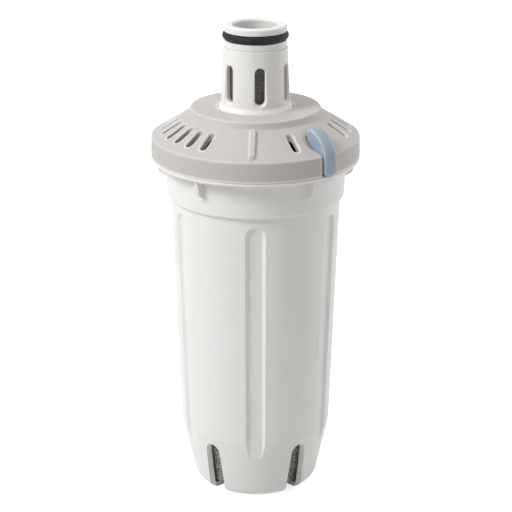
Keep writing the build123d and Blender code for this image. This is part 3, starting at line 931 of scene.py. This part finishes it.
@dataclass
class StrainerCloth:
    """Plain-woven monofilament cloth that lines the strainer's frame under the cap's slots.

    A spoke has its detail in points for each ring that it crosses, and a ring for each spoke.
    """

    inner_radius: float = 14.75 * MM
    ring_step: float = 0.8 * MM
    ring_detail: int = 2
    spokes: int = 140
    spoke_detail: int = 3
    wire: float = 0.11 * MM
    wire_sides: int = 4
    latch_azimuth: float = math.radians(43.0)
    latch_start: float = 20.2 * MM
    latch_half: float = 4.4 * MM

    def tree(self) -> bpy.types.NodeTree:
        """Build the tree that weaves rings and spokes over a cone.

        Returns:
            The geometry node tree.
        """
        tree = new_tree(
            "woven_cone",
            {
                "NodeSocketFloat": (
                    "Inner Radius",
                    "Outer Radius",
                    "Inner Height",
                    "Outer Height",
                    "Ring Step",
                    "Wire Radius",
                    "Gap Azimuth",
                    "Gap Start",
                    "Gap Half Width",
                ),
                "NodeSocketInt": ("Rings", "Spokes"),
                "NodeSocketMaterial": ("Finish",),
            },
        )
        given = add_node(tree, "NodeGroupInput").outputs
        place = add_node(tree, "GeometryNodeInputPosition").outputs[0]
        parts = add_node(tree, "ShaderNodeSeparateXYZ", {0: place}).outputs
        index = add_node(tree, "GeometryNodeInputIndex").outputs[0]
        known = {socket.name: socket for socket in given}
        known |= {"index": index, "x": parts[0], "y": parts[1]}
        for result, operation, *terms in (
            # Points, turn and radius of each strand
            ("spoke points", "MULTIPLY", "Rings", self.spoke_detail),
            ("ring points", "MULTIPLY", "Spokes", self.ring_detail),
            ("pitch", "DIVIDE", math.tau, "Spokes"),
            ("spoke turn", "MULTIPLY", "index", "pitch"),
            ("ring radius", "MULTIPLY_ADD", "index", "Ring Step", "Inner Radius"),
            # Height of the cone over a point
            ("y squared", "MULTIPLY", "y", "y"),
            ("radius squared", "MULTIPLY_ADD", "x", "x", "y squared"),
            ("radius", "SQRT", "radius squared"),
            ("run", "SUBTRACT", "radius", "Inner Radius"),
            ("width", "SUBTRACT", "Outer Radius", "Inner Radius"),
            ("share", "DIVIDE", "run", "width"),
            ("fall", "SUBTRACT", "Outer Height", "Inner Height"),
            ("cone", "MULTIPLY_ADD", "share", "fall", "Inner Height"),
            # Sway of the strands over and under each other
            ("azimuth", "ARCTAN2", "y", "x"),
            ("ring number", "DIVIDE", "run", "Ring Step"),
            ("spoke number", "DIVIDE", "azimuth", "pitch"),
            ("crossing", "ADD", "ring number", "spoke number"),
            ("phase", "MULTIPLY", math.pi, "crossing"),
            ("wave", "COSINE", "phase"),
            ("sway", "MULTIPLY", "wave", "Wire Radius"),
            ("spoke height", "MULTIPLY_ADD", "sway", 1.0, "cone"),
            ("ring height", "MULTIPLY_ADD", "sway", -1.0, "cone"),
            # Points in the gap for the latch
            ("sine", "SINE", "Gap Azimuth"),
            ("cosine", "COSINE", "Gap Azimuth"),
            ("x out", "MULTIPLY", "x", "sine"),
            ("y out", "MULTIPLY", "y", "cosine"),
            ("out", "SUBTRACT", "x out", "y out"),
            ("beyond", "GREATER_THAN", "out", "Gap Start"),
            ("y across", "MULTIPLY", "y", "sine"),
            ("across", "MULTIPLY_ADD", "x", "cosine", "y across"),
            ("aside", "ABSOLUTE", "across"),
            ("within", "LESS_THAN", "aside", "Gap Half Width"),
            ("in gap", "MULTIPLY", "beyond", "within"),
        ):
            inputs = {number: known.get(term, term) for number, term in enumerate(terms)}
            step = add_node(tree, "ShaderNodeMath", inputs, operation=operation)
            known[result] = step.outputs[0]
        start = add_node(tree, "ShaderNodeCombineXYZ", {0: given["Inner Radius"]}).outputs[0]
        end = add_node(tree, "ShaderNodeCombineXYZ", {0: given["Outer Radius"]}).outputs[0]
        line = add_node(tree, "GeometryNodeCurvePrimitiveLine", {"Start": start, "End": end})
        spoke = add_node(
            tree,
            "GeometryNodeResampleCurve",
            {"Curve": line.outputs[0], "Count": known["spoke points"]},
        )
        turn = add_node(tree, "ShaderNodeCombineXYZ", {2: known["spoke turn"]}).outputs[0]
        ring = add_node(
            tree,
            "GeometryNodeCurvePrimitiveCircle",
            {"Resolution": known["ring points"], "Radius": 1.0},
        )
        woven = []
        for strand, count, way, height in (
            (spoke, "Spokes", {"Rotation": turn}, "spoke height"),
            (ring, "Rings", {"Scale": known["ring radius"]}, "ring height"),
        ):
            points = add_node(tree, "GeometryNodePoints", {"Count": given[count]})
            copies = add_node(
                tree,
                "GeometryNodeInstanceOnPoints",
                {"Points": points.outputs[0], "Instance": strand.outputs[0], **way},
            )
            loose = add_node(tree, "GeometryNodeRealizeInstances", {0: copies.outputs[0]})
            lift = add_node(tree, "ShaderNodeCombineXYZ", {2: known[height]})
            bent = add_node(
                tree,
                "GeometryNodeSetPosition",
                {"Geometry": loose.outputs[0], "Offset": lift.outputs[0]},
            )
            woven.append(bent.outputs[0])
        cloth = add_node(tree, "GeometryNodeJoinGeometry", {0: woven[0]})
        tree.links.new(woven[1], cloth.inputs[0])
        cut = add_node(
            tree,
            "GeometryNodeDeleteGeometry",
            {"Geometry": cloth.outputs[0], "Selection": known["in gap"]},
            domain="POINT",
        )
        section = add_node(
            tree,
            "GeometryNodeCurvePrimitiveCircle",
            {"Resolution": self.wire_sides, "Radius": given["Wire Radius"]},
        )
        wires = add_node(
            tree,
            "GeometryNodeCurveToMesh",
            {"Curve": cut.outputs[0], "Profile Curve": section.outputs[0], "Fill Caps": True},
        )
        plain = add_node(tree, "GeometryNodeRealizeInstances", {0: wires.outputs[0]})
        finished = add_node(
            tree,
            "GeometryNodeSetMaterial",
            {"Geometry": plain.outputs[0], "Material": given["Finish"]},
        )
        add_node(tree, "NodeGroupOutput", {0: finished.outputs[0]})
        return tree

    def build(self) -> None:
        """Weave the cloth in the place of its CAD sheet."""
        low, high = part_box("strainer_mesh")
        outer = high.x
        crossing = 2 * self.wire
        tree = self.tree()
        cloth = to_object("strainer_cloth", bmesh.new())
        grow(
            cloth,
            tree,
            {
                "Inner Radius": self.inner_radius,
                "Outer Radius": outer,
                "Inner Height": high.z - crossing,
                "Outer Height": low.z + crossing,
                "Ring Step": self.ring_step,
                "Rings": 1 + int((outer - self.inner_radius) / self.ring_step),
                "Spokes": self.spokes,
                "Wire Radius": self.wire,
                "Gap Azimuth": self.latch_azimuth,
                "Gap Start": self.latch_start,
                "Gap Half Width": self.latch_half,
                "Finish": CLOTH_FILAMENT.material(),
            },
        )
        bpy.data.node_groups.remove(tree)
        seat(cloth, Body.CARTRIDGE, Slot.CLOTH, "strainer_mesh")


@dataclass
class NotchBevels:
    """Moulded bevels on the outer walls of the four outlet notches, which catch the light.

    The notch sizes are those of the CAD shell: each bevel leans on the notch's wall. The skin
    gap and the thinnest wall keep its outer edge just under the shell's surface.
    """

    azimuth: float = math.radians(36.5)
    half: float = 2.3 * MM
    round_centre: float = 14.9 * MM
    cut_low: float = -4.6 * MM
    flare: float = 2.5 * MM
    flare_start: float = 14.0 * MM
    flare_end: float = 22.25 * MM
    base_radius: float = 18.1 * MM
    base_round: float = 3.6 * MM
    slope: float = FOOT_SLOPE
    wall: float = 1.4 * MM
    thinnest_wall: float = 0.5 * MM
    skin_gap: float = 0.02 * MM
    sunk: float = 0.05 * MM
    foot: float = 0.12 * MM
    low_depth: float = 0.45 * MM
    high_depth: float = 0.7 * MM
    straight_steps: int = 24
    round_steps: int = 12
    sharpest: float = math.radians(25)

    def skin(self, height: float) -> float:
        """Outer radius of the foot at a height, with its rounded lower edge."""
        lean = math.atan(self.slope)
        centre = self.base_radius + self.slope * self.base_round
        centre -= self.base_round / math.cos(lean)
        if height < self.base_round * (1 - math.sin(lean)):
            drop = self.base_round - height
            return centre + math.sqrt(self.base_round**2 - drop**2)
        return self.base_radius + self.slope * height

    def section(self, along: float) -> list[tuple[float, float, float]]:
        """Corners of the bevel's triangular section.

        Args:
            along: 0 to 1 up the straight wall, and 1 to 2 round the notch's top.

        Returns:
            Outer, inner and proud corner in the notch's own axes: outwards, sideways and up.
        """
        turn = max(along - 1, 0) * math.pi / 2
        across = math.cos(turn)
        height = self.foot + min(along, 1) * (self.round_centre - self.foot)
        rise = self.half * math.sin(turn)
        share = max(self.round_centre - height, 0) / (self.round_centre - self.cut_low)
        depth = self.low_depth + (self.high_depth - self.low_depth) * min(along, 1)
        depth = max(depth * across, self.skin_gap)
        z = height + rise
        outer = self.skin(z) - self.skin_gap
        inner = min(self.base_radius + self.slope * z - self.wall, outer - self.thinnest_wall)
        corners = []
        for radius, proud in ((outer, 0.0), (inner, 0.0), (inner, depth)):
            x = math.sqrt(radius**2 - (self.half * across) ** 2)
            widening = self.flare * share * max(x - self.flare_start, 0)
            side = self.half + widening / (self.flare_end - self.flare_start)
            inset = self.sunk if proud == 0.0 else -proud
            corners.append((x, (side + inset) * across, z + inset * math.sin(turn)))
        return corners

    def build(self, white: bpy.types.Material) -> None:
        """Make the four bevels as one piece.

        Args:
            white: Material of the housing.
        """
        steps = [i / self.straight_steps for i in range(self.straight_steps)]
        steps += [1 + i / self.round_steps for i in range(self.round_steps + 1)]
        sections = [self.section(along) for along in steps]
        mesh = bmesh.new()
        for azimuth, hand in (
            (self.azimuth, 1),
            (-self.azimuth, -1),
            (math.pi - self.azimuth, -1),
            (self.azimuth - math.pi, 1),
        ):
            sine, cosine = math.sin(azimuth), math.cos(azimuth)
            rows = [
                [
                    mesh.verts.new((x * sine + hand * y * cosine, hand * y * sine - x * cosine, z))
                    for x, y, z in section
                ]
                for section in sections
            ]
            for low, high in zip(rows, rows[1:]):
                for k in range(3):
                    n = (k + 1) % 3
                    mesh.faces.new((low[k], low[n], high[n], high[k]))
            mesh.faces.new(rows[0])
            mesh.faces.new(rows[-1])
        bmesh.ops.recalc_face_normals(mesh, faces=mesh.faces)
        bevels = to_object("notch_bevels", mesh)
        bevels.data.materials.append(white)
        bevels.data.shade_smooth()
        bevels.data.set_sharp_from_angle(angle=self.sharpest)
        seat(bevels, Body.CARTRIDGE, Slot.WHITE)


@dataclass
class Housing:
    """White housing with its inner lid, plates and the seal on the neck."""

    weld_radius: float = 29.38 * MM
    weld_reach: float = 0.6 * MM
    weld_rise: float = 0.57 * MM
    weld_sides: int = 16
    weld_step: float = 0.9 * MM
    gate_radius: float = 1.1 * MM
    gate_tip_share: float = 0.7
    gate_height: float = 0.18 * MM
    gate_root: float = 0.1 * MM
    gate_step: float = 0.25 * MM
    recess: float = 0.3 * MM

    def build(self) -> None:
        """Dress the white nodes and the seal, and add the lip, the gate mark and the bevels."""
        white = WHITE_PLASTIC.material()
        plates = ("felt_retainer", "spreader_plate", "support_grid", "outlet_ring")
        dress(("body_shell", "inner_lid", *plates), white)
        dress(("o_ring",), RUBBER.material())
        self.add_weld_bead(white)
        self.add_gate_mark(white)
        NotchBevels().build(white)

    def add_weld_bead(self, white: bpy.types.Material) -> None:
        """Round the flange's edge with the lip that the lid's weld leaves along its seam.

        Args:
            white: Material of the housing.
        """
        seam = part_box("body_shell")[1].z
        outline = []
        for i in range(self.weld_sides):
            turn = math.tau * i / self.weld_sides
            radius = self.weld_radius + self.weld_reach * math.cos(turn)
            outline.append((radius, seam + self.weld_rise * math.sin(turn)))
        bead = turned("lid_weld_bead", outline, self.weld_step)
        bead.data.shade_smooth()
        bead.data.materials.append(white)
        seat(bead, Body.CARTRIDGE, Slot.WHITE)

    def add_gate_mark(self, white: bpy.types.Material) -> None:
        """Leave the sprue gate's cut stub in the recess under the base.

        Args:
            white: Material of the housing.
        """
        low = self.recess - self.gate_height
        high = self.recess + self.gate_root
        tip = self.gate_tip_share * self.gate_radius
        outline = [(0.0, low), (tip, low), (self.gate_radius, high), (0.0, high)]
        stub = turned("base_gate_stub", outline, self.gate_step)
        stub.data.materials.append(white)
        seat(stub, Body.CARTRIDGE, Slot.WHITE)


@dataclass
class LiftOffCap:
    """Grey cap with its strainer and the sprung latch lever."""

    def build(self) -> None:
        """Dress the cap, the strainer's frame and the latch, and weave the strainer's cloth."""
        dress(("cap",), GREY_PLASTIC.material())
        dress(("latch_lever",), LEVER_PLASTIC.material())
        dress(("latch_pin", "latch_spring"), STEEL.material())
        dress(("strainer_frame",), FRAME_PLASTIC.material())
        StrainerCloth().build()


@dataclass
class Lamp:
    """Soft square studio lamp aimed at a point."""

    name: str
    place: tuple[float, float, float]
    size: float
    power: float
    aim: tuple[float, float, float] = (0.0, 0.0, 0.075)

    def hang(self) -> None:
        """Add the lamp to the scene."""
        light = bpy.data.lights.new(self.name, "AREA")
        light.energy = self.power
        light.size = self.size
        lamp = bpy.data.objects.new(self.name, light)
        lamp.location = self.place
        towards = Vector(self.aim) - Vector(self.place)
        lamp.rotation_euler = towards.to_track_quat("-Z", "Y").to_euler()
        bpy.context.scene.collection.objects.link(lamp)


@dataclass
class Studio:
    """Pale floor, soft light and the camera at the photograph's angle."""

    camera_place: tuple[float, float, float] = (0.00013, -0.447, 0.2326)
    camera_pitch: float = 19.97
    lens: float = 113.36
    sensor: float = 36.0
    nearest: float = 0.01
    floor_size: float = 12.0
    floor_cells: int = 4
    floor_colour: str = "#dadada"
    floor_white: float = 0.75
    sky_colour: str = "#fffbf6"
    ambient: float = 0.28
    backdrop_colour: str = "#ffffff"
    lamps: tuple[Lamp, ...] = (
        Lamp("key_left", (-0.69, -0.37, 0.75), size=0.42, power=7.4),
        Lamp("rim_right", (0.75, 0.4, 0.38), size=0.35, power=1.5),
        Lamp("fill_right", (0.8, -0.1, 0.45), size=0.35, power=0.9),
        Lamp("top", (-0.1, 0.2, 0.97), size=0.5, power=2.0),
    )

    def build(self) -> None:
        """Set up floor, world, lamps, camera and the plain view transform."""
        self.lay_floor()
        self.light_world()
        for lamp in self.lamps:
            lamp.hang()
        self.place_camera()
        bpy.context.scene.view_settings.view_transform = "Standard"

    def backdrop_rays(self, tree: bpy.types.NodeTree) -> bpy.types.NodeSocket:
        """Find the rays that should see the plain white backdrop.

        Args:
            tree: Node tree of the floor or the world.

        Returns:
            Socket that is 1 for camera, glossy and transmission rays.
        """
        path = add_node(tree, "ShaderNodeLightPath").outputs
        some = add_node(
            tree,
            "ShaderNodeMath",
            {0: path["Is Camera Ray"], 1: path["Is Glossy Ray"]},
            operation="MAXIMUM",
        )
        return add_node(
            tree,
            "ShaderNodeMath",
            {0: some.outputs[0], 1: path["Is Transmission Ray"]},
            operation="MAXIMUM",
        ).outputs[0]

    def lay_floor(self) -> None:
        """Lay the matt white floor, which shows white but keeps the object's shadow."""
        mesh = bmesh.new()
        cells = self.floor_cells
        bmesh.ops.create_grid(mesh, x_segments=cells, y_segments=cells, size=self.floor_size / 2)
        floor = to_object("studio_floor", mesh)
        material = bpy.data.materials.new("matt_white_paper")
        material.use_nodes = True
        tree = material.node_tree
        tree.nodes.clear()
        paper = add_node(tree, "ShaderNodeBsdfDiffuse", {"Color": linear(self.floor_colour)})
        share = add_node(
            tree,
            "ShaderNodeMath",
            {0: self.backdrop_rays(tree), 1: self.floor_white},
            operation="MULTIPLY",
        )
        white = add_node(
            tree,
            "ShaderNodeEmission",
            {"Color": linear(self.backdrop_colour), "Strength": share.outputs[0]},
        )
        blend = add_node(tree, "ShaderNodeAddShader", {0: paper.outputs[0], 1: white.outputs[0]})
        add_node(tree, "ShaderNodeOutputMaterial", {0: blend.outputs[0]})
        floor.data.materials.append(material)

    def light_world(self) -> None:
        """Light the scene from all round, with a white backdrop where it is seen."""
        world = bpy.data.worlds.new("soft_studio")
        world.use_nodes = True
        bpy.context.scene.world = world
        tree = world.node_tree
        tree.nodes.clear()
        sky, backdrop = linear(self.sky_colour), linear(self.backdrop_colour)
        light = add_node(tree, "ShaderNodeBackground", {"Color": sky, "Strength": self.ambient})
        white = add_node(tree, "ShaderNodeBackground", {"Color": backdrop, "Strength": 1.0})
        blend = add_node(
            tree,
            "ShaderNodeMixShader",
            {0: self.backdrop_rays(tree), 1: light.outputs[0], 2: white.outputs[0]},
        )
        add_node(tree, "ShaderNodeOutputWorld", {0: blend.outputs[0]})

    def place_camera(self) -> None:
        """Put the camera at the photograph's angle and distance."""
        camera = bpy.data.cameras.new("photo_camera")
        camera.lens = self.lens
        camera.sensor_width = self.sensor
        camera.clip_start = self.nearest
        holder = bpy.data.objects.new("photo_camera", camera)
        holder.location = self.camera_place
        holder.rotation_euler = (math.radians(90 - self.camera_pitch), 0.0, 0.0)
        bpy.context.scene.collection.objects.link(holder)
        bpy.context.scene.camera = holder


def main() -> None:
    """Build and dress every sub-assembly in order, then the studio."""
    logging.basicConfig(level=logging.INFO, format="%(name)s: %(message)s", stream=sys.stdout)
    for part in (Housing(), LiftOffCap(), FilterMedia(), Studio()):
        log.info("building %s", type(part).__name__)
        part.build()


if __name__ == "__main__":
    main()
